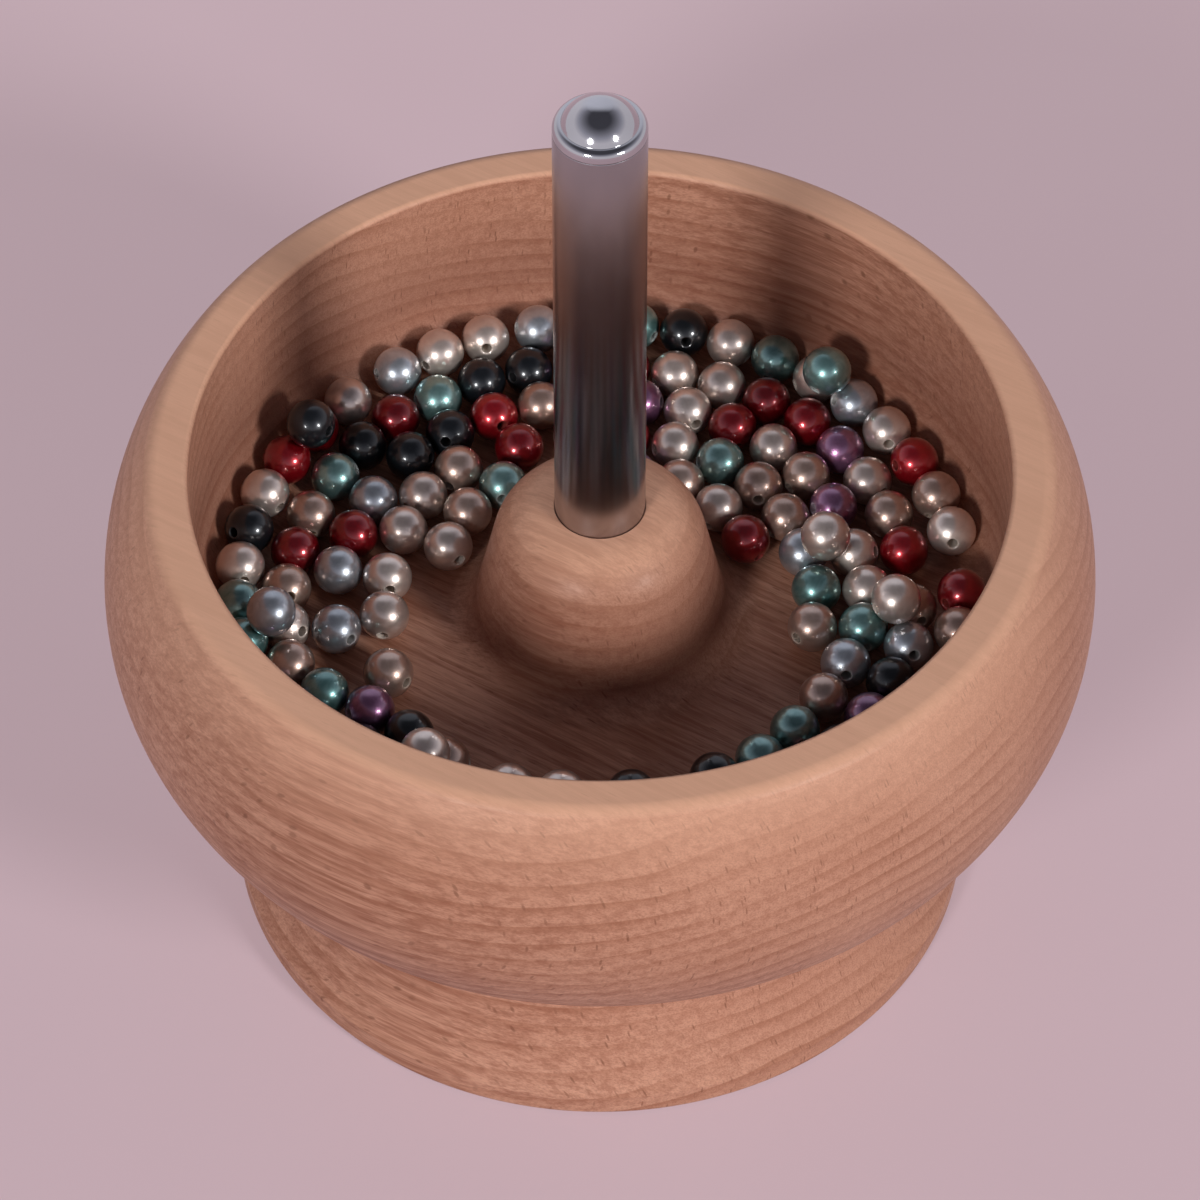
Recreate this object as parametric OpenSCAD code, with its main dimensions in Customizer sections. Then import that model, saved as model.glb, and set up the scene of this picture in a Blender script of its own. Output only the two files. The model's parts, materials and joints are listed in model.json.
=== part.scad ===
// Bead spinner: a turned beech bowl that spins on a steel pin in a turned beech foot.
// The bowl hangs from the top of the pin: a polished tube is glued through its boss, a domed
// cap closes the tube, and the cap rides on a steel ball on the pin's tip. Loose glass pearls
// lie in the bowl as spinning leaves them, flung outward against its wall.
// Origin: the middle of the foot's underside. +Z runs up the spindle. Millimetres.

/* [Foot] */
// Diameter of the foot where it meets the table
foot_d = 84; // [78:1:96]
// Height of the foot
foot_h = 20; // [18:0.5:28]
// Diameter of the foot's flat top
foot_top_d = 75; // [70:1:77]
// Height of the upright band round the foot's lower edge
foot_band_h = 3; // [1.5:0.5:6]
// How far the foot's flank is hollowed inside a straight taper
foot_hollow = 1; // [0.4:0.2:2]
// Radius that breaks the foot's edges
foot_break_r = 0.8; // [0.3:0.1:1.2]

/* [Bowl] */
// Greatest diameter of the bowl, at its belly
bowl_d = 110; // [104:1:124]
// Height of the bowl from its underside to its rim
bowl_h = 41.6; // [38:0.2:50]
// Height of the belly above the underside
belly_h = 23.8; // [20:0.2:26]
// Diameter of the flat underside
bowl_seat_d = 62; // [54:1:70]
// Diameter of the mouth, inside the rim
mouth_d = 90; // [86:1:94]
// Width of the level rim, from the mouth to where the shoulder turns down
rim_w = 4.4; // [3.6:0.2:6]
// Radius that rounds the rim's outer corner
rim_crest_r = 2; // [0.8:0.1:2.4]
// Radius that breaks the rim's inner edge
rim_inner_r = 0.6; // [0.3:0.1:1]
// Thickness of wood under the bowl's floor
floor_t = 17.2; // [14:0.2:20]
// Radius of the hollow where the wall meets the floor
corner_r = 8; // [6:0.5:10]

/* [Boss] */
// Height of the boss above the floor
boss_h = 17.5; // [14:0.5:20]
// Diameter of the boss above its cove
boss_d = 27; // [25:0.2:30]
// Taper of the boss's side from upright, in degrees
boss_taper = 12; // [4:1:16]
// Radius of the boss's rounded crown
boss_crown_r = 6.5; // [5:0.5:7]
// Radius of the cove between boss and floor
boss_cove_r = 4.5; // [3:0.5:6]

/* [Spindle] */
// Outer diameter of the spindle tube
spindle_d = 10; // [9:0.5:12]
// Wall of the spindle tube
tube_wall = 0.8; // [0.6:0.1:1]
// How far the spindle stands out of the boss
spindle_out = 61; // [45:1:75]
// Rise of the cap's dome
cap_dome_h = 2.5; // [1.2:0.1:3.2]
// Radius round the cap's shoulder
cap_shoulder_r = 0.9; // [0.4:0.1:0.9]
// Height of the cap's shoulder above the seam with the tube
cap_side_h = 1.4; // [0.9:0.1:2]
// Length of the cap's plug inside the tube
cap_plug_h = 6; // [5:0.5:9]

/* [Pivot] */
// Diameter of the steel pin
pin_d = 6; // [5:0.5:6.5]
// Bevel round both ends of the pin
pin_bevel = 0.8; // [0.4:0.1:1.2]
// Depth of the pin's hole in the foot
pin_grip = 15; // [10:0.5:15]
// Diameter of the ball on the pin's tip
ball_d = 5; // [4:0.5:5]
// Length of the bush at the tube's lower end
bush_h = 10; // [6:0.5:16]
// Space between the bowl's underside and the foot
foot_gap = 0.8; // [0.5:0.1:1.5]

/* [Fits] */
// Running clearance on the radius between pin and bush, and round the ball
run_gap = 0.05; // [0.02:0.01:0.08]
// Glue line on the radius between the tube and the bowl, and in the pin's hole
glue_gap = 0.03; // [0.02:0.01:0.06]
// Space left between neighbouring beads, and between a bead and the wood
bead_gap = 0.06; // [0.04:0.01:0.12]

/* [Beads] */
// Diameter of a bead
bead_d = 5.6; // [5:0.1:7]
// Diameter of a bead's threading hole
bead_hole_d = 1.1; // [0.8:0.1:1.6]
// Turns that the beads lie in, from the wall inward
bead_rows = 6; // [1:1:6]
// Share of the beads that leave a gap to the last one
bead_loose = 0.12; // [0:0.02:0.4]
// Diameter of the round patch of floor that the beads leave bare
bare_d = 44; // [40:1:60]
// How far that patch lies in front of the spindle
bare_shift = 7.5; // [0:0.5:12]
// How far up the corner the outer beads lie, from 0 at the floor to 1 against the wall
bead_climb = 0.65; // [0:0.05:0.9]
// One floor bead in this many carries a bead on top
perch_every = 11; // [4:1:20]

/* [Hidden] */

BEECH = [0.80, 0.58, 0.42];
STEEL = [0.62, 0.61, 0.63];
BRASS = [0.80, 0.65, 0.35];
PEARLS = [
    [0.93, 0.86, 0.80],
    [0.86, 0.72, 0.63],
    [0.72, 0.71, 0.70],
    [0.50, 0.66, 0.62],
    [0.62, 0.05, 0.09],
    [0.07, 0.08, 0.10],
    [0.55, 0.33, 0.46]
];
// The shares in which the colours turn up among the beads, in the order of PEARLS
PEARL_SHARES = [0.21, 0.18, 0.14, 0.15, 0.13, 0.12, 0.07];

lathe_fn = 160;
bead_fn = 40;
arc_steps = 14;

// How far a cut runs past the face that it opens
past = 1;

foot_r = foot_d / 2;
foot_top_r = foot_top_d / 2;
bowl_r = bowl_d / 2;
mouth_r = mouth_d / 2;
bead_r = bead_d / 2;

underside_z = foot_h + foot_gap;
belly_z = underside_z + belly_h;
rim_z = underside_z + bowl_h;
floor_z = underside_z + floor_t;
boss_z = floor_z + boss_h;

spindle_r = spindle_d / 2;
tube_r = spindle_r - tube_wall;
seam_z = boss_z + spindle_out - cap_dome_h - cap_side_h;
cap_side_z = seam_z + cap_side_h;

// The ball sits in a socket half its own diameter deep in the cap's plug
ball_z = seam_z - cap_plug_h;
pin_top_z = ball_z - ball_d / 2 - run_gap;
pin_foot_z = foot_h - pin_grip;

// Points along an oval arc, from angle a0 to a1, about [x, y]
function oval(x, y, rx, ry, a0, a1) = [
    for (i = [0 : arc_steps])
        let (a = a0 + (a1 - a0) * i / arc_steps)
        [x + rx * cos(a), y + ry * sin(a)]
];

function arc(x, y, r, a0, a1) = oval(x, y, r, r, a0, a1);

// A repeatable number from 0 to 1 for each n
function chance(n) = let (v = sin(n * 47.31 + 11.7) * 4375.85) v - floor(v);

// A closed outline turned about the spindle's axis
module turned(outline) {
    rotate_extrude($fn = lathe_fn) polygon(outline);
}

// The flank is an arc through the band's top and the flat top's edge that bows inward
module foot() {
    top_edge = [foot_top_r, foot_h - foot_break_r];
    low_edge = [foot_r, foot_band_h];
    chord = norm(top_edge - low_edge);
    flank_r = (chord * chord / 4 + foot_hollow * foot_hollow) / (2 * foot_hollow);
    lean = atan2(top_edge[1] - low_edge[1], top_edge[0] - low_edge[0]);
    middle = (top_edge + low_edge) / 2
        + (flank_r - foot_hollow) * [sin(lean), -cos(lean)];
    half = asin(chord / 2 / flank_r);
    color(BEECH)
    difference() {
        turned(concat(
            [[0, 0]],
            arc(foot_r - foot_break_r, foot_break_r, foot_break_r, -90, 0),
            arc(middle[0], middle[1], flank_r, lean + 90 + half, lean + 90 - half),
            arc(foot_top_r - foot_break_r, foot_h - foot_break_r, foot_break_r, 0, 90),
            [[0, foot_h]]
        ));
        translate([0, 0, pin_foot_z])
            cylinder(r = pin_d / 2 + glue_gap, h = pin_grip + past, $fn = lathe_fn);
    }
}

// The pin stands on the floor of its hole
module pivot_pin() {
    pin_r = pin_d / 2;
    low_z = pin_foot_z + glue_gap;
    color(STEEL)
    turned([
        [0, low_z], [pin_r - pin_bevel, low_z], [pin_r, low_z + pin_bevel],
        [pin_r, pin_top_z - pin_bevel], [pin_r - pin_bevel, pin_top_z], [0, pin_top_z]
    ]);
}

module pivot_ball() {
    color(STEEL) translate([0, 0, ball_z]) sphere(d = ball_d, $fn = lathe_fn);
}

// The shoulder is an arc, upright at the belly, that runs to the rim's outer corner
rim_r = mouth_r + rim_w;
shoulder_r = (pow(bowl_r - rim_r, 2) + pow(rim_z - belly_z, 2)) / (2 * (bowl_r - rim_r));
shoulder_x = bowl_r - shoulder_r;
crest_z = rim_z - rim_crest_r;
crest_x = shoulder_x + sqrt(pow(shoulder_r - rim_crest_r, 2) - pow(crest_z - belly_z, 2));
crest_a = atan2(crest_z - belly_z, crest_x - shoulder_x);

// The hollow's corner, where its upright wall turns into the level floor
corner_x = mouth_r - corner_r;
corner_z = floor_z + corner_r;

// The boss's side leans in from its cove to its crown, and touches both
cove_z = floor_z + boss_cove_r;
cove_x = boss_d / 2 + boss_cove_r / cos(boss_taper);
crown_z = boss_z - boss_crown_r;
crown_x = cove_x - (crown_z - cove_z) * tan(boss_taper)
    - (boss_cove_r + boss_crown_r) / cos(boss_taper);

module bowl() {
    seat_r = bowl_seat_d / 2;
    color(BEECH)
    difference() {
        turned(concat(
            [[0, underside_z]],
            oval(seat_r, belly_z, bowl_r - seat_r, belly_h, -90, 0),
            arc(shoulder_x, belly_z, shoulder_r, 0, crest_a),
            arc(crest_x, crest_z, rim_crest_r, crest_a, 90),
            arc(mouth_r + rim_inner_r, rim_z - rim_inner_r, rim_inner_r, 90, 180),
            arc(corner_x, corner_z, corner_r, 0, -90),
            arc(cove_x, cove_z, boss_cove_r, -90, boss_taper - 180),
            arc(crown_x, crown_z, boss_crown_r, boss_taper, 90),
            [[0, boss_z]]
        ));
        translate([0, 0, underside_z - past])
            cylinder(r = spindle_r + glue_gap, h = boss_z - underside_z + 2 * past,
                $fn = lathe_fn);
    }
}

module spindle_tube() {
    color(STEEL)
    turned([
        [tube_r, underside_z], [spindle_r, underside_z],
        [spindle_r, seam_z], [tube_r, seam_z]
    ]);
}

// The dome is an arc that meets the rounded shoulder
module spindle_cap() {
    flat_r = spindle_r - cap_shoulder_r;
    dome_r = (flat_r * flat_r + cap_dome_h * cap_dome_h) / (2 * cap_dome_h);
    dome_a = asin(flat_r / dome_r);
    top_z = cap_side_z + cap_dome_h;
    color(STEEL)
    difference() {
        turned(concat(
            [[0, ball_z], [tube_r - glue_gap, ball_z], [tube_r - glue_gap, seam_z],
                [spindle_r, seam_z]],
            arc(flat_r, cap_side_z - cap_shoulder_r, cap_shoulder_r, 0, 90),
            arc(0, top_z - dome_r, dome_r, 90 - dome_a, 90)
        ));
        translate([0, 0, ball_z]) sphere(r = ball_d / 2 + run_gap, $fn = lathe_fn);
    }
}

// The bush keeps the tube's lower end centred on the pin
module lower_bush() {
    bush_r = tube_r - glue_gap;
    bush_bore_r = pin_d / 2 + run_gap;
    color(BRASS)
    turned([
        [bush_bore_r, underside_z], [bush_r, underside_z],
        [bush_r, underside_z + bush_h], [bush_bore_r, underside_z + bush_h]
    ]);
}

// A bead with its share of the space round it
bead_pitch = bead_d + bead_gap;

// How far a bead's centre can swing round the hollow's corner, and how far out beads lie
roll_r = corner_r - bead_r - bead_gap;
reach = corner_x + bead_climb * roll_r;

// Height of a floor bead's centre at distance r from the axis, on the flat or up the corner
function rest_z(r) = r <= corner_x
    ? floor_z + bead_r + bead_gap
    : corner_z - sqrt(pow(roll_r, 2) - pow(r - corner_x, 2));

// Bearing of the first bead, in degrees
lay_start = -140;

// How closely a distance has to match to count as touching
slack = 0.001;

// Where a bead leaves a gap to the last one, how wide it is at least, and how much more at most
gap_least = 0.6;
gap_spread = 3.4;

// How many pitches apart the beads under a perched bead may lie
perch_span = 1.35;

// How far the threading holes tilt from upright, in degrees
hole_tilt_least = 62;
hole_tilt_spread = 56;

function polar(r, a) = r * [cos(a), sin(a)];
function bearing(p) = atan2(p[1], p[0]);

// A bead that slides out from the axis at bearing a stops at the wall or at the first bead
function flung(a, beads) =
    let (u = polar(1, a))
    min(concat([reach], [
        for (b = beads)
            let (ahead = b * u, side = cross(u, b))
            if (ahead > 0 && abs(side) < bead_pitch)
                ahead - sqrt(pow(bead_pitch, 2) - pow(side, 2))
    ])) * u;

// The spot against the wall that lies next to bead p, going on round the bowl
function wall_spot(p) =
    let (
        r = norm(p),
        turn = acos((pow(reach, 2) + pow(r, 2) - pow(bead_pitch, 2)) / (2 * reach * r))
    )
    polar(reach, bearing(p) + turn);

// The spot next to both p and q, on the left of the way from p to q
function nest(p, q) =
    let (way = (q - p) / norm(q - p))
    (p + q) / 2 + sqrt(pow(bead_pitch, 2) - pow(norm(q - p) / 2, 2)) * [-way[1], way[0]];

// The free spots further round than p that touch p and the wall, or p and another bead
function free_spots(p, beads) = [
    for (s = concat(
        norm(p) > reach - bead_pitch ? [wall_spot(p)] : [],
        [for (q = beads) if (q != p && norm(q - p) < 2 * bead_pitch) nest(p, q)]
    ))
        if (cross(p, s) > 0 && norm(s) < reach + slack
            && min([for (b = beads) norm(b - s)]) > bead_pitch - slack)
            s
];

function furthest(spots) =
    let (out = [for (s = spots) norm(s)])
    [for (i = [0 : len(spots) - 1]) if (out[i] == max(out)) spots[i]][0];

// The next bead nests as far out as it can beside bead p, or leaves a gap to it
function next_bead(p, beads, n) =
    let (
        spots = free_spots(p, beads),
        gap = gap_least + gap_spread * chance(n * 3 + 7),
        turn = atan((bead_pitch + gap) / norm(p))
    )
    len(spots) == 0 || chance(n) < bead_loose
        ? flung(bearing(p) + turn, beads) : furthest(spots);

// Places that hold no bead: the boss with its cove, and the bare patch of floor
function is_bare(p) = norm(p) < cove_x || norm(p + [0, bare_shift]) < bare_d / 2;

// Beads are laid in a spiral from the wall inward until it has swept every turn
function lay(p, swept, beads, n) =
    swept > 360 * bead_rows ? beads :
    let (
        spot = next_bead(p, beads, n),
        step = (bearing(spot) - bearing(p) + 360) % 360
    )
    lay(spot, swept + step, is_bare(spot) ? beads : concat(beads, [spot]), n + 1);

function floor_beads() =
    let (first = polar(reach, lay_start))
    [for (b = lay(first, 0, [first], 1)) [b[0], b[1], rest_z(norm(b))]];

// Lowest height at which a bead centred over p clears every bead below it
function perch_z(p, beads) = max([
    for (b = beads)
        let (away = norm([b[0] - p[0], b[1] - p[1]]))
        away < bead_pitch ? b[2] + sqrt(pow(bead_pitch, 2) - pow(away, 2)) : 0
]);

// The beads of a list that lie nearest to bead b, itself left out
function nearest(b, beads) =
    let (gaps = [for (o = beads) o == b ? bowl_d : norm(o - b)], least = min(gaps))
    [for (i = [0 : len(beads) - 1]) if (gaps[i] == least) beads[i]][0];

// A perched bead lies over the middle of three floor beads that touch or nearly do
function perches(beads) = [
    for (i = [perch_every : perch_every : len(beads) - 1])
        let (
            a = beads[i],
            b = nearest(a, beads),
            c = nearest((a + b) / 2, [for (o = beads) if (o != a && o != b) o]),
            p = (a + b + c) / 3
        )
        if (max(norm(c - a), norm(c - b)) < perch_span * bead_pitch)
            [p[0], p[1], perch_z(p, beads)]
];

// Perched beads that are clear of the ones kept before them
function kept(list, n = 0, out = []) = n == len(list)
    ? out
    : kept(list, n + 1,
        min(concat([bowl_d], [for (o = out) norm(o - list[n])])) < bead_pitch
            ? out : concat(out, [list[n]]));

// The colour whose share of the range from 0 to 1 holds v
function pearl_of(v, i = 0, sum = 0) =
    i == len(PEARLS) - 1 || v < sum + PEARL_SHARES[i]
        ? i : pearl_of(v, i + 1, sum + PEARL_SHARES[i]);

// A round pearl with its threading hole turned any way
module bead(n) {
    rotate([hole_tilt_least + hole_tilt_spread * chance(n * 5 + 1), 0, 360 * chance(n * 9 + 2)])
    difference() {
        sphere(d = bead_d, $fn = bead_fn);
        cylinder(d = bead_hole_d, h = bead_d + past, center = true, $fn = bead_fn);
    }
}

// All the beads of one colour
module beads(pearl) {
    lying = floor_beads();
    all_beads = concat(lying, kept(perches(lying)));
    color(PEARLS[pearl])
    for (n = [0 : len(all_beads) - 1])
        if (pearl_of(chance(n * 5 + 9)) == pearl)
            translate(all_beads[n]) bead(n);
}

foot();
pivot_pin();
pivot_ball();
bowl();
spindle_tube();
spindle_cap();
lower_bush();
beads(0);  // beads_cream
beads(1);  // beads_champagne
beads(2);  // beads_silver
beads(3);  // beads_mint
beads(4);  // beads_red
beads(5);  // beads_black
beads(6);  // beads_mauve
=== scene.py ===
"""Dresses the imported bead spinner.

It makes finer turned pieces and beads, procedural materials, light, floor and camera.
"""

import json
import math
import random

import bpy
import numpy as np
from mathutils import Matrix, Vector

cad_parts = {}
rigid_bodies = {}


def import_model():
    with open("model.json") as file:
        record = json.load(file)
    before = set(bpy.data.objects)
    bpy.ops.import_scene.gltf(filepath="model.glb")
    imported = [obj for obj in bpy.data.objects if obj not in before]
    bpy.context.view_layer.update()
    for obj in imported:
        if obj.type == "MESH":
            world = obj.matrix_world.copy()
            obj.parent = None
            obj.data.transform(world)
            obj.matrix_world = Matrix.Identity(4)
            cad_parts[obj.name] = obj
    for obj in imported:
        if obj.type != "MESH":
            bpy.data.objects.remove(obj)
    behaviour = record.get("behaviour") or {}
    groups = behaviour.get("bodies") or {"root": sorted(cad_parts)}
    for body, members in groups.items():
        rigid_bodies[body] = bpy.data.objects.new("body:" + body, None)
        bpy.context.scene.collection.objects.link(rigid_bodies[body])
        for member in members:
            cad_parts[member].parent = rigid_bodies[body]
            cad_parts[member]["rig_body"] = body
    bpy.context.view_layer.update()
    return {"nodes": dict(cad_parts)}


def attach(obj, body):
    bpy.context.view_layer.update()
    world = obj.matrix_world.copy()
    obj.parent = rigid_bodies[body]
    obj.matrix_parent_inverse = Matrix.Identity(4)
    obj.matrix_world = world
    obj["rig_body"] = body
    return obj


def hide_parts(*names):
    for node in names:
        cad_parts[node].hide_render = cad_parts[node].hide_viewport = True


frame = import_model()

MM = 0.001

# Most values of a noise texture lie between these
NOISE_LOW, NOISE_HIGH = 0.35, 0.65


def srgb(red, green, blue):
    """A colour as seen on a screen, 0 to 255, as the linear colour that a shader takes."""
    shares = [value / 255 for value in (red, green, blue)]
    linear = [s / 12.92 if s <= 0.04045 else ((s + 0.055) / 1.055) ** 2.4 for s in shares]
    return (*linear, 1.0)


# Turned pieces: how finely they are turned, and how far their corners are eased
LATHE_SIDES = 192
SPINDLE_SIDES = 96
SAME_POINT = 0.01 * MM
SAME_DIGITS = 7
CORNER_TURN = math.radians(25)
LONG_RUN = 1.8
FINE_STEP = 0.5 * MM
ARC_CUTS = 3
EASE_CUTS = 4
WOOD_EASE = 0.15 * MM
STEEL_EASE = 0.12 * MM

# Beads: BEAD_RIM is the radius of the lip at each end of the threading hole, and the bare core
# shows as far as CORE_RIMS of them from the hole's wall
BEAD_SIDES = 32
BEAD_ARC_STEPS = 22
BEAD_RIM = 0.16 * MM
BEAD_RIM_STEPS = 4
BEAD_SEED = 20
BEAD_SQUASH = 0.025
CORE_RIMS = 1.6
SPHERE_LEAST_POINTS = 120

# Wood: how its fibres lie, and where in its plank each piece was, in millimetres
FIBRE_TURN = math.radians(32)
LAYER_TILT = math.radians(4)
GRAIN_TURN = (LAYER_TILT, 0, FIBRE_TURN)
FOOT_BLOCK = (14, 9, 96)
BOWL_BLOCK = (0, -4, 118)

# Wood: its marks, as the number in a millimetre along the fibres and both ways across them
STREAKS_PER_MM = (0.055, 1.3, 1.3)
FIBRES_PER_MM = (0.3, 5.5, 5.5)
PORES_PER_MM = (0.5, 4.2, 4.2)
RAYS_PER_MM = (0.42, 3.1, 0.5)
SHADES_PER_MM = (0.01, 0.035, 0.035)
BENDS_PER_MM = (0.012, 0.03, 0.03)
PATCHES_PER_MM = (0.02, 0.06, 0.06)
LATHE_MARKS_PER_M = 1500

# Wood: how wide a year's ring is and how far it bends, in millimetres. At scale 1 the rings of a
# wave texture are WAVE_WIDTH wide
RING_WIDTH = 2.5
RING_BEND = 7
WAVE_WIDTH = math.pi / 10

# Wood: its tones, how strongly each mark shows in it, and how much of the streaks end grain hides
PLAIN_TONES = (srgb(194, 139, 114), srgb(204, 151, 126))
RING_TONE, RING_SHARE = srgb(148, 90, 64), 0.6
STREAK_TONE, STREAK_SHARE = srgb(142, 84, 62), 0.7
FIBRE_TONE, FIBRE_SHARE = srgb(128, 80, 58), 0.32
PORE_TONE, PORE_SHARE, END_PORE_SHARE = srgb(104, 62, 46), 0.06, 0.22
RAY_TONE, RAY_SHARE = srgb(116, 70, 50), 0.6
# Painted light: the upward faces of the rim and the boss's crown are painted lighter, in place of
# light from above
TOP_LIGHT_TONE, TOP_LIGHT_SHARE = srgb(240, 186, 154), 0.75
# Painted shade: the steep faces deep inside the bowl are painted darker, growing deeper towards
# the bottom
INNER_SHADE_TONE, INNER_SHADE_SHARE = srgb(112, 64, 52), 0.45
STREAKS_HIDDEN = 0.75

# Wood: the heights over which upward faces are painted lighter (painted light), and where the
# steep faces deep inside the bowl are painted darker (painted shade)
TOP_LIGHT_FROM = 47 * MM
TOP_LIGHT_TO = 61 * MM
INNER_SHADE_RADIUS = 45.5 * MM
INNER_SHADE_FROM = 30 * MM
INNER_SHADE_TO = 59 * MM
INNER_SHADE_FADE = 12 * MM

# Wood: its roughness in dark grain and in light, how deep its marks are beside the grain's own
# relief, and that relief's strength and height
WOOD_ROUGHNESS = (0.56, 0.40)
FLECK_DEPTH = 0.35
LATHE_MARK_DEPTH = 0.35
WOOD_BUMP = (0.35, 0.06 * MM)

# Metals: their marks, as the number in a metre
HAIRLINES_PER_M = (900, 900, 9000)
HAZES_PER_M = (120, 120, 60)
GRINDING_PER_M = (60, 60, 7000)
BRASS_MARKS_PER_M = (80, 80, 5000)
TARNISH_PER_M = 400

# Metals: tones, least roughness, and what their marks add to it and to the relief
TUBE_LOOK = ((184, 181, 185), 0.17)
CAP_LOOK = ((210, 208, 212), 0.03)
HAZE_TONE, HAZE_ROUGHNESS = 0.9, 0.06
HAIRLINE_ROUGHNESS = 0.05
HAIRLINE_BUMP = (0.05, 0.01 * MM)
GROUND_TONES = (srgb(158, 158, 162), srgb(206, 206, 210))
GROUND_ROUGHNESS, GRINDING_ROUGHNESS = 0.18, 0.2
BRASS_TONES = (srgb(214, 178, 104), srgb(168, 128, 66))
BRASS_ROUGHNESS, BRASS_MARK_ROUGHNESS = 0.2, 0.25
MACHINED_BUMP = (0.2, 0.01 * MM)

# Pearls: light and dark tone, core, share of metal, weight of the clear coat
PEARLS = {
    "cream": (srgb(236, 222, 212), srgb(208, 190, 180), srgb(206, 192, 180), 0.75, 1.0),
    "champagne": (srgb(206, 180, 166), srgb(172, 142, 128), srgb(196, 178, 162), 0.75, 1.0),
    "silver": (srgb(200, 206, 212), srgb(154, 160, 168), srgb(184, 182, 180), 0.80, 1.0),
    "mint": (srgb(150, 188, 184), srgb(92, 136, 134), srgb(178, 186, 182), 0.75, 1.0),
    "red": (srgb(172, 16, 30), srgb(122, 6, 20), srgb(138, 54, 50), 0.60, 0.8),
    "black": (srgb(30, 34, 40), srgb(14, 18, 22), srgb(48, 48, 50), 0.40, 0.5),
    "mauve": (srgb(168, 118, 156), srgb(120, 76, 110), srgb(174, 154, 164), 0.75, 1.0),
}

# Pearls: how far a bead's own tone and its swirls colour it, and what its fine grain adds
OWN_TONE_SHARE = 0.7
SWIRL_SHARE = 0.9
SWIRLS_PER_M = 700
GRAINS_PER_M = 5000
PEARL_ROUGHNESS, GRAIN_ROUGHNESS = 0.26, 0.08
GRAIN_DEPTH = 0.02
PEARL_BUMP = (0.06, 0.03 * MM)

# Light: the studio is lighter low down, with a dark ceiling and a soft window behind the object
LAMP_ELEVATION = math.radians(27)
LAMP_ANGLE = math.radians(12)
LAMPS = {
    "lamp_left": (math.radians(-28), 1.4),
    "lamp_right": (math.radians(48), 1.6),
}
STUDIO_HEIGHTS = (
    (0.42, srgb(164, 162, 168)),
    (0.62, srgb(126, 126, 136)),
    (0.76, srgb(96, 96, 104)),
    (0.90, srgb(54, 54, 60)),
)
WINDOW_BEARING = (math.radians(180), math.radians(34))
WINDOW_EDGES = (0.78, 0.97)
WINDOW_COLOUR = srgb(160, 162, 172)
STUDIO_GLOW = 0.8

# Floor
FLOOR_RADIUS = 30
FLOOR_TONES = (srgb(164, 142, 149), srgb(171, 150, 156))
FLOOR_CLOUDS_PER_M = 9
FLOOR_GLOW = 0.75

# Camera
CAMERA_ELEVATION = math.radians(48.5)
CAMERA_DISTANCE = 0.693
CAMERA_LENS = 190
AIM_HEIGHT = 0.060
AIM_DROP = 0.0135


# Outlines of turned pieces


def walked(links):
    """An outline's points in order, from each point's links, and whether the outline is closed."""
    ends = [i for i, linked in enumerate(links) if len(linked) == 1]
    path = [ends[0] if ends else 0]
    while True:
        onward = [i for i in links[path[-1]] if i not in path]
        if not onward:
            return path, not ends
        path.append(onward[0])


def outline_of(node):
    """A turned node's outline, read off the frame's mesh.

    It comes as (r, z) points in order, and whether it is closed. An open one ends on the axis.
    """
    mesh = frame["nodes"][node].data
    points, known, index = [], {}, []
    for vertex in mesh.vertices:
        point = (math.hypot(vertex.co.x, vertex.co.y), vertex.co.z)
        key = tuple(round(value, SAME_DIGITS) for value in point)
        if key not in known:
            same = [i for i, other in enumerate(points) if math.dist(point, other) < SAME_POINT]
            if not same:
                points.append(point)
            known[key] = same[0] if same else len(points) - 1
        index.append(known[key])
    links = [set() for _ in points]
    for edge in mesh.edges:
        a, b = (index[i] for i in edge.vertices)
        if a != b:
            links[a].add(b)
            links[b].add(a)
    path, closed = walked(links)
    outline = [points[i] for i in path]
    if not closed:
        outline = [(0.0, outline[0][1]), *outline, (0.0, outline[-1][1])]
        outline = [
            point for i, point in enumerate(outline)
            if i == 0 or math.dist(point, outline[i - 1]) > SAME_POINT
        ]
    return outline, closed


def unit(a, b):
    """The direction from point a to point b, and how far it is."""
    length = math.dist(a, b)
    return ((b[0] - a[0]) / length, (b[1] - a[1]) / length), length


def turn_between(u, v):
    """The angle between two directions."""
    return abs(math.atan2(u[0] * v[1] - u[1] * v[0], u[0] * v[0] + u[1] * v[1]))


def neighbours(outline, closed, i):
    """The points before and after point i, or None past an open outline's ends."""
    last = len(outline) - 1
    before = outline[i - 1] if i > 0 or closed else None
    after = outline[(i + 1) % len(outline)] if i < last or closed else None
    return before, after


def eased(outline, closed, radius):
    """The outline with each sharp corner rounded to that radius."""
    made = []
    for i, point in enumerate(outline):
        before, after = neighbours(outline, closed, i)
        if before is None or after is None:
            made.append(point)
            continue
        (u, before_length), (v, after_length) = unit(before, point), unit(point, after)
        turn = turn_between(u, v)
        if turn < CORNER_TURN:
            made.append(point)
            continue
        cut = min(radius * math.tan(turn / 2), before_length / 2, after_length / 2)
        start = (point[0] - u[0] * cut, point[1] - u[1] * cut)
        end = (point[0] + v[0] * cut, point[1] + v[1] * cut)
        for step in range(EASE_CUTS + 1):
            t = step / EASE_CUTS
            made.append(tuple(
                (1 - t) ** 2 * s + 2 * t * (1 - t) * p + t * t * e
                for s, p, e in zip(start, point, end)
            ))
    return made


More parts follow.
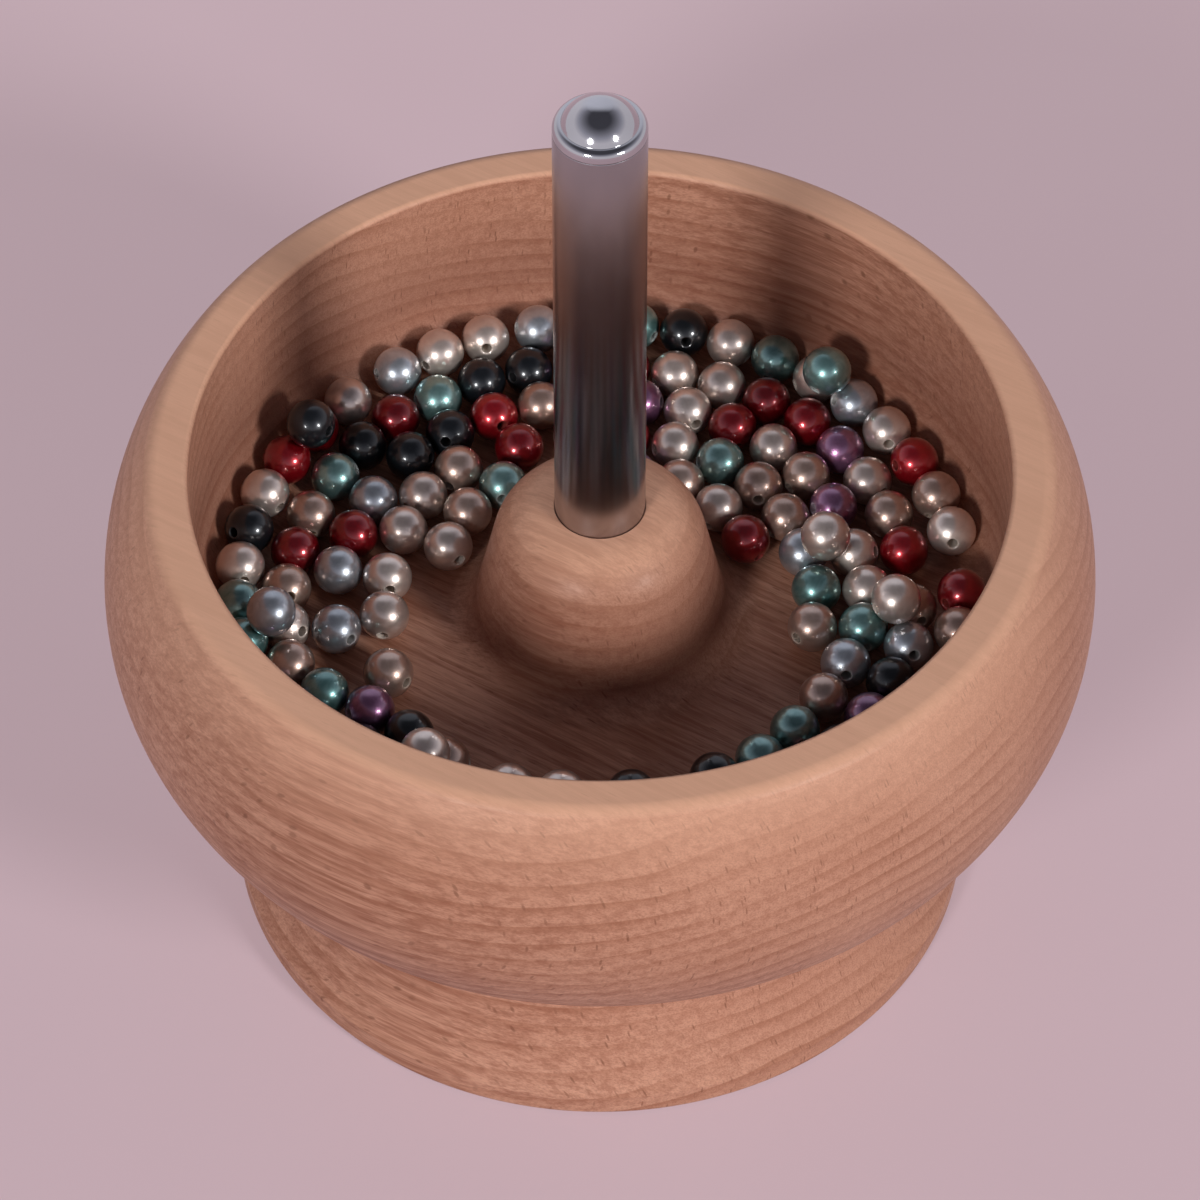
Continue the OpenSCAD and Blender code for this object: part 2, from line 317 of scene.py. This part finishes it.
def directions(outline, closed):
    """The outline's direction as it comes in to each point and as it goes out.

    The two differ only at a corner. Beside a long run they are the run's own.
    """
    found = []
    for i, point in enumerate(outline):
        before, after = neighbours(outline, closed, i)
        if before is None or after is None:
            only, _ = unit(point, after) if before is None else unit(before, point)
            found.append((only, only))
            continue
        (u, before_length), (v, after_length) = unit(before, point), unit(point, after)
        if turn_between(u, v) > CORNER_TURN:
            found.append((u, v))
            continue
        if before_length > LONG_RUN * after_length:
            smooth = u
        elif after_length > LONG_RUN * before_length:
            smooth = v
        else:
            mean = [a * after_length + b * before_length for a, b in zip(u, v)]
            size = math.hypot(*mean)
            smooth = (mean[0] / size, mean[1] / size)
        found.append((smooth, smooth))
    return found


def curve_at(t, start, end, leave, arrive):
    """The place at share t of a smooth curve from start to end, and the direction there."""
    length = math.dist(start, end)
    for_place = (
        2 * t**3 - 3 * t**2 + 1, t**3 - 2 * t**2 + t, 3 * t**2 - 2 * t**3, t**3 - t**2,
    )
    for_way = (6 * t**2 - 6 * t, 3 * t**2 - 4 * t + 1, 6 * t - 6 * t**2, 3 * t**2 - 2 * t)
    place, way = (
        tuple(
            w[0] * start[k] + w[1] * length * leave[k] + w[2] * end[k] + w[3] * length * arrive[k]
            for k in (0, 1)
        )
        for w in (for_place, for_way)
    )
    size = math.hypot(*way)
    return place, (way[0] / size, way[1] / size)


def refined(outline, closed):
    """The outline's points with its longer steps cut finer, each with its two directions."""
    ways = directions(outline, closed)
    limits = [(min(values), max(values)) for values in zip(*outline)]
    stations = []
    for i in range(len(outline) if closed else len(outline) - 1):
        j = (i + 1) % len(outline)
        stations.append((outline[i], *ways[i]))
        cuts = ARC_CUTS if math.dist(outline[i], outline[j]) > FINE_STEP else 1
        for step in range(1, cuts):
            place, way = curve_at(step / cuts, outline[i], outline[j], ways[i][1], ways[j][0])
            place = tuple(min(max(p, low), high) for p, (low, high) in zip(place, limits))
            stations.append((place, way, way))
    if not closed:
        stations.append((outline[-1], *ways[-1]))
    return stations


def rings_of(points, sides):
    """The points turned about Z: the vertices, and the ring of vertices that each point makes."""
    rings, vertices = [], []
    for r, z in points:
        first = len(vertices)
        if r < SAME_POINT:
            rings.append([first] * sides)
            vertices.append((0.0, 0.0, z))
            continue
        rings.append(list(range(first, first + sides)))
        vertices += [
            (r * math.cos(a), r * math.sin(a), z)
            for a in (2 * math.pi * k / sides for k in range(sides))
        ]
    return rings, vertices


def revolved(outline, closed, sides):
    """Vertices, faces and a normal for each face corner of the outline turned about Z."""
    stations = refined(outline, closed)
    points = [point for point, _, _ in stations]
    rings, vertices = rings_of(points, sides)
    area = sum(a[0] * b[1] - b[0] * a[1] for a, b in zip(points, [*points[1:], points[0]]))
    out = 1 if area > 0 else -1
    faces, normals = [], []
    for i in range(len(points) if closed else len(points) - 1):
        j = (i + 1) % len(points)
        leave, arrive = stations[i][2], stations[j][1]
        for k in range(sides):
            m = (k + 1) % sides
            corners = [(i, k, leave), (i, m, leave), (j, m, arrive), (j, k, arrive)]
            if out < 0:
                corners.reverse()
            face = {}
            for at, side, (along, up) in corners:
                on_axis = rings[at][0] == rings[at][-1]
                angle = 2 * math.pi * (k + 0.5 if on_axis else side) / sides
                face.setdefault(rings[at][side], (
                    up * out * math.cos(angle), up * out * math.sin(angle), -along * out,
                ))
            if len(face) > 2:
                faces.append(list(face))
                normals += face.values()
    return vertices, faces, normals


# Pieces


def placed(name, data):
    """A new object of that data in the scene."""
    made = bpy.data.objects.new(name, data)
    bpy.context.scene.collection.objects.link(made)
    return made


def piece(name, vertices, faces, normals, material):
    """A smooth mesh object with that normal at each face corner."""
    mesh = bpy.data.meshes.new(name)
    mesh.from_pydata(vertices, [], faces)
    mesh.shade_smooth()
    mesh.normals_split_custom_set(normals)
    mesh.materials.append(material)
    return placed(name, mesh)


def stand_for(made, node):
    """Puts a piece in the node's place, on its body, and hides the node."""
    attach(made, frame["nodes"][node]["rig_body"])
    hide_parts(node)


def turned(name, node, sides, ease, material):
    """A finer piece turned on the node's own outline, in the node's place."""
    outline, closed = outline_of(node)
    made = piece(name, *revolved(eased(outline, closed, ease), closed, sides), material)
    stand_for(made, node)


def loose_parts(mesh):
    """The places of the mesh's vertices, one array for each part whose edges join up."""
    places = np.array([vertex.co for vertex in mesh.vertices], float)
    parent = list(range(len(places)))

    def root(i):
        """The vertex that stands for the whole part of vertex i."""
        while parent[i] != i:
            parent[i] = parent[parent[i]]
            i = parent[i]
        return i

    for edge in mesh.edges:
        parent[root(edge.vertices[0])] = root(edge.vertices[1])
    parts = {}
    for i in range(len(places)):
        parts.setdefault(root(i), []).append(i)
    return [places[members] for members in parts.values()]


def beads_in(node):
    """The centre and radius of each bead of a node, its hole's direction and the hole's radius."""
    parts = loose_parts(frame["nodes"][node].data)
    holes = [part for part in parts if len(part) < SPHERE_LEAST_POINTS]
    found = []
    for points in (part for part in parts if len(part) >= SPHERE_LEAST_POINTS):
        known = np.c_[2 * points, np.ones(len(points))]
        solved = np.linalg.lstsq(known, (points**2).sum(1), rcond=None)[0]
        centre = solved[:3]
        radius = math.sqrt(solved[3] + centre @ centre)
        hole = min(holes, key=lambda part: np.linalg.norm(part.mean(0) - centre)) - centre
        axis = np.linalg.eigh(hole.T @ hole)[1][:, -1]
        hole_radius = np.linalg.norm(np.cross(hole, axis), axis=1).mean()
        found.append((centre, radius, axis, hole_radius))
    return found


def bead_outline(radius, hole_radius):
    """A drilled bead's closed outline, with a rounded lip at each end of its hole."""
    lip = hole_radius + BEAD_RIM
    lip_z = math.sqrt((radius - BEAD_RIM) ** 2 - lip**2)
    start = math.atan2(lip_z, lip)
    outside = [
        (radius * math.cos(a), radius * math.sin(a))
        for a in (start * (1 - 2 * i / BEAD_ARC_STEPS) for i in range(BEAD_ARC_STEPS + 1))
    ]
    lips = [
        (lip + BEAD_RIM * math.cos(a), lip_z + BEAD_RIM * math.sin(a))
        for a in (
            math.pi + (start - math.pi) * i / BEAD_RIM_STEPS for i in range(BEAD_RIM_STEPS)
        )
    ]
    return [*lips, *outside, *[(r, -z) for r, z in reversed(lips)]]


def bead_group(colour, material, chance):
    """All the beads of a colour as one finer piece.

    Each bead has its own tone, and its hole shows the bare core.
    """
    node = "beads_" + colour
    vertices, faces, normals, tones, cores = [], [], [], [], []
    for centre, radius, axis, hole_radius in beads_in(node):
        places, sides, ways = revolved(bead_outline(radius, hole_radius), True, BEAD_SIDES)
        turn = Vector(axis).to_track_quat("Z", "Y").to_matrix()
        squash = 1 - BEAD_SQUASH * chance.random()
        core_edge = hole_radius + CORE_RIMS * BEAD_RIM
        first = len(vertices)
        vertices += [Vector(centre) + turn @ Vector((x, y, z * squash)) for x, y, z in places]
        faces += [[first + i for i in face] for face in sides]
        normals += [turn @ Vector(way) for way in ways]
        tones += [chance.random()] * len(places)
        cores += [
            max(0.0, min(1.0, (core_edge - math.hypot(x, y)) / BEAD_RIM)) for x, y, z in places
        ]
    made = piece("pearls_" + colour, vertices, faces, normals, material)
    for label, values in (("tone", tones), ("core", cores)):
        made.data.attributes.new(label, "FLOAT", "POINT").data.foreach_set("value", values)
    stand_for(made, node)


# Materials


class Nodes:
    """The node tree of a new material or world, with short calls to fill it."""

    def __init__(self, owner, shader="Principled BSDF"):
        owner.use_nodes = True
        self.owner = owner
        self.tree = owner.node_tree
        self.shader = self.tree.nodes[shader]

    def feed(self, socket, value):
        """Links an output to the socket, or sets the socket to a plain value."""
        if isinstance(value, bpy.types.NodeSocket):
            self.tree.links.new(value, socket)
        else:
            socket.default_value = value

    def add(self, kind, inputs=(), **settings):
        """A node of that kind. inputs are (socket, value or output) pairs."""
        made = self.tree.nodes.new("ShaderNode" + kind)
        for setting, value in settings.items():
            setattr(made, setting, value)
        for socket, value in inputs:
            self.feed(made.inputs[socket], value)
        return made

    def coordinates(self, kind):
        """The texture coordinates of that kind."""
        return self.add("TexCoord").outputs[kind]

    def part(self, vector, axis):
        """The vector's share along that axis."""
        return self.add("SeparateXYZ", [("Vector", vector)]).outputs[axis]

    def math(self, operation, *values, clamp=False):
        inputs = list(enumerate(values))
        return self.add("Math", inputs, operation=operation, use_clamp=clamp).outputs[0]

    def plus(self, first, second, clamp=False):
        return self.math("ADD", first, second, clamp=clamp)

    def minus(self, first, second):
        return self.math("SUBTRACT", first, second)

    def times(self, first, second):
        return self.math("MULTIPLY", first, second)

    def vectors(self, operation, *values, output="Vector"):
        """Vector arithmetic. output is "Value" where the result is a number."""
        inputs = list(enumerate(values))
        return self.add("VectorMath", inputs, operation=operation).outputs[output]

    def scaled(self, vector, scale):
        """The vector with each axis times its own scale."""
        return self.add("Mapping", [("Vector", vector), ("Scale", scale)]).outputs[0]

    def between(self, value, low, high, **settings):
        """How far value is from low to high, 0 to 1."""
        inputs = [("Value", value), ("From Min", low), ("From Max", high)]
        return self.add("MapRange", inputs, **settings).outputs["Result"]

    def noise(self, vector, scale=1.0, detail=2.0, roughness=0.5, distortion=0.0, output="Fac"):
        """Soft random patches, about scale of them in each unit of the vector."""
        return self.add("TexNoise", [
            ("Vector", vector), ("Scale", scale), ("Detail", detail),
            ("Roughness", roughness), ("Distortion", distortion),
        ]).outputs[output]

    def cells(self, vector):
        """Random points, with the distance to the nearest one and its own colour."""
        return self.add("TexVoronoi", [("Vector", vector), ("Scale", 1)]).outputs

    def ramp(self, value, *stops):
        """value from 0 to 1 sent through (place, colour) stops."""
        made = self.add("ValToRGB", [("Fac", value)])
        elements = made.color_ramp.elements
        while len(elements) < len(stops):
            elements.new(0.5)
        for element, (place, colour) in zip(elements, stops):
            element.position = place
            element.color = colour
        return made.outputs["Color"]

    def steps(self, value, *stops):
        """value from 0 to 1 sent through (place, brightness) stops."""
        return self.ramp(value, *((place, (grey, grey, grey, 1)) for place, grey in stops))

    def mix(self, share, first, second):
        """The colour that is first where share is 0, and second where it is 1."""
        inputs = [(0, share), (6, first), (7, second)]
        return self.add("Mix", inputs, data_type="RGBA").outputs[2]

    def bump(self, height, strength, distance):
        """The normal of a surface with that relief."""
        return self.add("Bump", [
            ("Height", height), ("Strength", strength), ("Distance", distance),
        ]).outputs[0]

    def seen(self):
        """1 for what the camera and reflections see, 0 for what lights matt things."""
        rays = self.add("LightPath").outputs
        return self.math("MAXIMUM", rays["Is Camera Ray"], rays["Is Glossy Ray"])

    def set(self, **sockets):
        """Sets the shader's sockets, named with _ for a space."""
        for name, value in sockets.items():
            self.feed(self.shader.inputs[name.replace("_", " ")], value)


def growth_rings(n, wood):
    """The dark late wood of each year, in gently bent layers that show here and there."""
    bend = n.noise(n.scaled(wood, BENDS_PER_MM), output="Color")
    bent = n.vectors("ADD", wood, n.vectors("MULTIPLY", bend, (RING_BEND,) * 3))
    waves = n.add("TexWave", [
        ("Vector", bent), ("Scale", WAVE_WIDTH / RING_WIDTH), ("Distortion", 1.2),
        ("Detail", 2), ("Detail Scale", 0.25), ("Detail Roughness", 0.55),
    ], wave_type="RINGS", rings_direction="X", wave_profile="SAW").outputs["Fac"]
    rings = n.steps(waves, (0.0, 0.0), (0.45, 0.12), (0.86, 0.85), (0.94, 1.0), (1.0, 0.0))
    patches = n.noise(n.scaled(wood, PATCHES_PER_MM), detail=1)
    return n.times(rings, n.steps(patches, (NOISE_LOW, 0.25), (NOISE_HIGH, 1.0)))


def ray_flecks(n, wood):
    """Beech's short dark flecks, some strong and some faint."""
    cells = n.cells(n.scaled(wood, RAYS_PER_MM))
    chosen = n.add("SeparateColor", [("Color", cells["Color"])]).outputs["Red"]
    shapes = n.steps(cells["Distance"], (0.16, 1.0), (0.30, 0.0))
    return n.times(shapes, n.steps(chosen, (0.55, 0.0), (0.95, 1.0)))


def painted_top_light(n, height, up):
    """Painted light: how much lighter a place is painted where it faces up, high on the rim and
    the boss's crown, in place of light from above.
    """
    return n.times(n.steps(up, (0.1, 0.0), (1.0, 1.0)), n.between(height, TOP_LIGHT_FROM, TOP_LIGHT_TO))


def painted_inner_shade(n, radius, height, up):
    """Painted shade: how much darker a place is painted by how far down inside the bowl it is, on
    its steep faces alone.
    """
    share = n.between(height, INNER_SHADE_TO, INNER_SHADE_TO - INNER_SHADE_FADE)
    for limit in (
        n.math("LESS_THAN", radius, INNER_SHADE_RADIUS),
        n.math("GREATER_THAN", height, INNER_SHADE_FROM),
        n.steps(up, (0.45, 1.0), (0.9, 0.0)),
    ):
        share = n.times(share, limit)
    return share


def wood_relief(n, grain, flecks, radius, height):
    """The wood's relief: its grain, the sunken flecks, and the rings that the lathe left."""
    across = n.add("CombineXYZ", [("X", radius), ("Z", height)]).outputs[0]
    lathe_marks = n.noise(across, scale=LATHE_MARKS_PER_M, detail=1)
    relief = n.minus(grain, n.times(flecks, FLECK_DEPTH))
    return n.plus(relief, n.times(lathe_marks, LATHE_MARK_DEPTH))


def beech(name, block):
    """Sanded and oiled beech, with painted light on its upward faces and painted shade deep inside
    the bowl. block is where the piece lay in the plank.
    """
    n = Nodes(bpy.data.materials.new(name))
    place, normal = n.coordinates("Object"), n.coordinates("Normal")
    wood = n.add("Mapping", [
        ("Vector", place), ("Location", block), ("Rotation", GRAIN_TURN), ("Scale", (1 / MM,) * 3),
    ]).outputs[0]
    facing = n.add("Mapping", [
        ("Vector", normal), ("Rotation", GRAIN_TURN),
    ], vector_type="VECTOR").outputs[0]
    end_grain = n.math("ABSOLUTE", n.part(facing, "X"))
    side_grain = n.minus(1.0, n.times(end_grain, STREAKS_HIDDEN))
    radius = n.vectors("LENGTH", n.vectors("MULTIPLY", place, (1, 1, 0)), output="Value")
    height, up = n.part(place, "Z"), n.part(normal, "Z")

    shades = n.noise(n.scaled(wood, SHADES_PER_MM))
    streaks = n.noise(n.scaled(wood, STREAKS_PER_MM), detail=4, roughness=0.62)
    fibres = n.noise(n.scaled(wood, FIBRES_PER_MM), roughness=0.6)
    pores = n.steps(n.cells(n.scaled(wood, PORES_PER_MM))["Distance"], (0.10, 1.0), (0.26, 0.0))
    flecks = ray_flecks(n, wood)

    tone = n.mix(n.steps(shades, (NOISE_LOW, 0.0), (NOISE_HIGH, 1.0)), *PLAIN_TONES)
    for share, mark in (
        (n.times(growth_rings(n, wood), RING_SHARE), RING_TONE),
        (n.times(n.steps(streaks, (0.38, STREAK_SHARE), (0.58, 0.0)), side_grain), STREAK_TONE),
        (n.steps(fibres, (0.36, FIBRE_SHARE), (0.58, 0.0)), FIBRE_TONE),
        (n.times(pores, n.plus(n.times(end_grain, END_PORE_SHARE), PORE_SHARE)), PORE_TONE),
        (n.times(flecks, RAY_SHARE), RAY_TONE),
        # painted light on the upward faces
        (n.times(painted_top_light(n, height, up), TOP_LIGHT_SHARE), TOP_LIGHT_TONE),
        # painted shade deep inside the bowl
        (n.times(painted_inner_shade(n, radius, height, up), INNER_SHADE_SHARE), INNER_SHADE_TONE),
    ):
        tone = n.mix(share, tone, mark)

    grain = n.plus(n.times(fibres, 0.5), n.times(streaks, 0.5))
    relief = wood_relief(n, grain, flecks, radius, height)
    n.set(
        Base_Color=tone,
        Roughness=n.steps(grain, *zip((NOISE_LOW, NOISE_HIGH), WOOD_ROUGHNESS)),
        Normal=n.bump(relief, *WOOD_BUMP),
        Specular_IOR_Level=0.2,
        Coat_Weight=0.04,
        Coat_Roughness=0.3,
    )
    return n.owner


def polished_steel(name, light, roughness):
    """Polished steel with the faint haze and hairlines that use leaves."""
    n = Nodes(bpy.data.materials.new(name))
    place = n.coordinates("Object")
    hairlines = n.noise(n.scaled(place, HAIRLINES_PER_M))
    haze = n.noise(n.scaled(place, HAZES_PER_M), detail=3)
    dull = srgb(*(HAZE_TONE * value for value in light))
    marks = n.plus(n.times(haze, HAZE_ROUGHNESS), n.times(hairlines, HAIRLINE_ROUGHNESS))
    n.set(
        Base_Color=n.mix(n.steps(haze, (0.35, 0.0), (0.7, 1.0)), dull, srgb(*light)),
        Metallic=1.0,
        Roughness=n.plus(marks, roughness),
        Normal=n.bump(hairlines, *HAIRLINE_BUMP),
    )
    return n.owner


def ground_steel(name):
    """Steel with the fine rings that grinding leaves round it."""
    n = Nodes(bpy.data.materials.new(name))
    rings = n.noise(n.scaled(n.coordinates("Object"), GRINDING_PER_M), detail=3, roughness=0.7)
    n.set(
        Base_Color=n.mix(rings, *GROUND_TONES),
        Metallic=1.0,
        Roughness=n.plus(n.times(rings, GRINDING_ROUGHNESS), GROUND_ROUGHNESS),
        Normal=n.bump(rings, *MACHINED_BUMP),
    )
    return n.owner


def turned_brass(name):
    """Brass with turning marks and slight tarnish."""
    n = Nodes(bpy.data.materials.new(name))
    place = n.coordinates("Object")
    marks = n.noise(n.scaled(place, BRASS_MARKS_PER_M), roughness=0.6)
    tarnish = n.steps(n.noise(place, scale=TARNISH_PER_M, detail=4), (0.4, 0.0), (0.7, 1.0))
    n.set(
        Base_Color=n.mix(tarnish, *BRASS_TONES),
        Metallic=1.0,
        Roughness=n.plus(n.times(marks, BRASS_MARK_ROUGHNESS), BRASS_ROUGHNESS),
        Normal=n.bump(marks, *MACHINED_BUMP),
    )
    return n.owner


def pearl(name, light, dark, core, metallic, coat_weight):
    """A bead's lustre, from dark to light by the bead's own tone, worn to its core at the hole."""
    n = Nodes(bpy.data.materials.new(name))
    place = n.coordinates("Object")
    tone = n.add("Attribute", attribute_name="tone").outputs["Fac"]
    bare = n.add("Attribute", attribute_name="core").outputs["Fac"]
    swirl = n.noise(place, scale=SWIRLS_PER_M, distortion=1.5)
    grain = n.noise(place, scale=GRAINS_PER_M)
    swirls = n.times(n.minus(swirl, 0.5), SWIRL_SHARE)
    share = n.plus(n.times(tone, OWN_TONE_SHARE), swirls, clamp=True)
    n.set(
        Base_Color=n.mix(bare, n.mix(share, dark, light), core),
        Metallic=n.times(n.minus(1.0, bare), metallic),
        Roughness=n.plus(n.times(grain, GRAIN_ROUGHNESS), PEARL_ROUGHNESS),
        Normal=n.bump(n.plus(swirl, n.times(grain, GRAIN_DEPTH)), *PEARL_BUMP),
        Coat_Weight=coat_weight,
        Coat_Roughness=0.03,
        Coat_IOR=1.6,
    )
    return n.owner


def pale_cloth(name):
    """The floor: plain, pale and matt. It shows its own tone where it lies in shade."""
    n = Nodes(bpy.data.materials.new(name))
    clouds = n.noise(n.coordinates("Object"), scale=FLOOR_CLOUDS_PER_M, detail=3)
    tone = n.mix(clouds, *FLOOR_TONES)
    n.set(
        Base_Color=tone,
        Roughness=0.9,
        Specular_IOR_Level=0.2,
        Emission_Color=tone,
        Emission_Strength=n.times(n.seen(), FLOOR_GLOW),
    )
    return n.owner


# Stage


def direction(azimuth, elevation):
    """The way from the object to that bearing. Azimuth 0 is in front of it, positive is right."""
    return Vector((
        math.sin(azimuth) * math.cos(elevation),
        -math.cos(azimuth) * math.cos(elevation),
        math.sin(elevation),
    ))


def aimed(name, data, place, back):
    """A lamp or camera at that place, with its back to that direction."""
    made = placed(name, data)
    made.location = place
    made.rotation_mode = "QUATERNION"
    made.rotation_quaternion = back.to_track_quat("Z", "Y")
    return made


def add_floor(material):
    """The floor that the spinner stands on."""
    corners = [(x, y, 0) for x, y in ((-1, -1), (1, -1), (1, 1), (-1, 1))]
    mesh = bpy.data.meshes.new("floor")
    mesh.from_pydata([FLOOR_RADIUS * Vector(corner) for corner in corners], [], [(0, 1, 2, 3)])
    mesh.materials.append(material)
    placed("floor", mesh)


def add_lamp(name, azimuth, strength):
    """A broad lamp far off at that azimuth."""
    lamp = bpy.data.lights.new(name, "SUN")
    lamp.energy = strength
    lamp.angle = LAMP_ANGLE
    way = direction(azimuth, LAMP_ELEVATION)
    aimed(name, lamp, way, way)


def add_studio(name):
    """The room round the object, in bands of height with a soft window."""
    bpy.context.scene.world = bpy.data.worlds.new(name)
    n = Nodes(bpy.context.scene.world, "Background")
    way = n.coordinates("Generated")
    room = n.ramp(n.part(way, "Z"), *STUDIO_HEIGHTS)
    nearness = n.vectors("DOT_PRODUCT", way, direction(*WINDOW_BEARING), output="Value")
    window = n.between(nearness, *WINDOW_EDGES, interpolation_type="SMOOTHSTEP")
    n.set(
        Color=n.mix(window, room, WINDOW_COLOUR),
        Strength=n.math("MULTIPLY_ADD", n.seen(), STUDIO_GLOW, 1.0),
    )


def add_camera():
    """The camera at the picture's viewing angle."""
    data = bpy.data.cameras.new("camera")
    data.lens = CAMERA_LENS
    back = direction(0, CAMERA_ELEVATION)
    up = Vector((0, math.sin(CAMERA_ELEVATION), math.cos(CAMERA_ELEVATION)))
    place = Vector((0, 0, AIM_HEIGHT)) - AIM_DROP * up + CAMERA_DISTANCE * back
    bpy.context.scene.camera = aimed("camera", data, place, back)


# The scene

turned("turned_foot", "foot", LATHE_SIDES, WOOD_EASE, beech("beech_foot", FOOT_BLOCK))
turned("turned_bowl", "bowl", LATHE_SIDES, WOOD_EASE, beech("beech_bowl", BOWL_BLOCK))
for name, node, look in (
    ("polished_tube", "spindle_tube", polished_steel("tube_steel", *TUBE_LOOK)),
    ("polished_cap", "spindle_cap", polished_steel("cap_steel", *CAP_LOOK)),
):
    turned(name, node, SPINDLE_SIDES, STEEL_EASE, look)

pin_steel = ground_steel("pin_steel_ground")
for node, material in (
    ("pivot_pin", pin_steel),
    ("pivot_ball", pin_steel),
    ("lower_bush", turned_brass("bush_brass_turned")),
):
    mesh = frame["nodes"][node].data
    mesh.materials.clear()
    mesh.materials.append(material)

chance = random.Random(BEAD_SEED)
for colour, look in PEARLS.items():
    bead_group(colour, pearl("pearl_coat_" + colour, *look), chance)

add_floor(pale_cloth("floor_pale"))
for name, (azimuth, strength) in LAMPS.items():
    add_lamp(name, azimuth, strength)
add_studio("studio")
add_camera()

bpy.context.scene.view_settings.view_transform = "Standard"
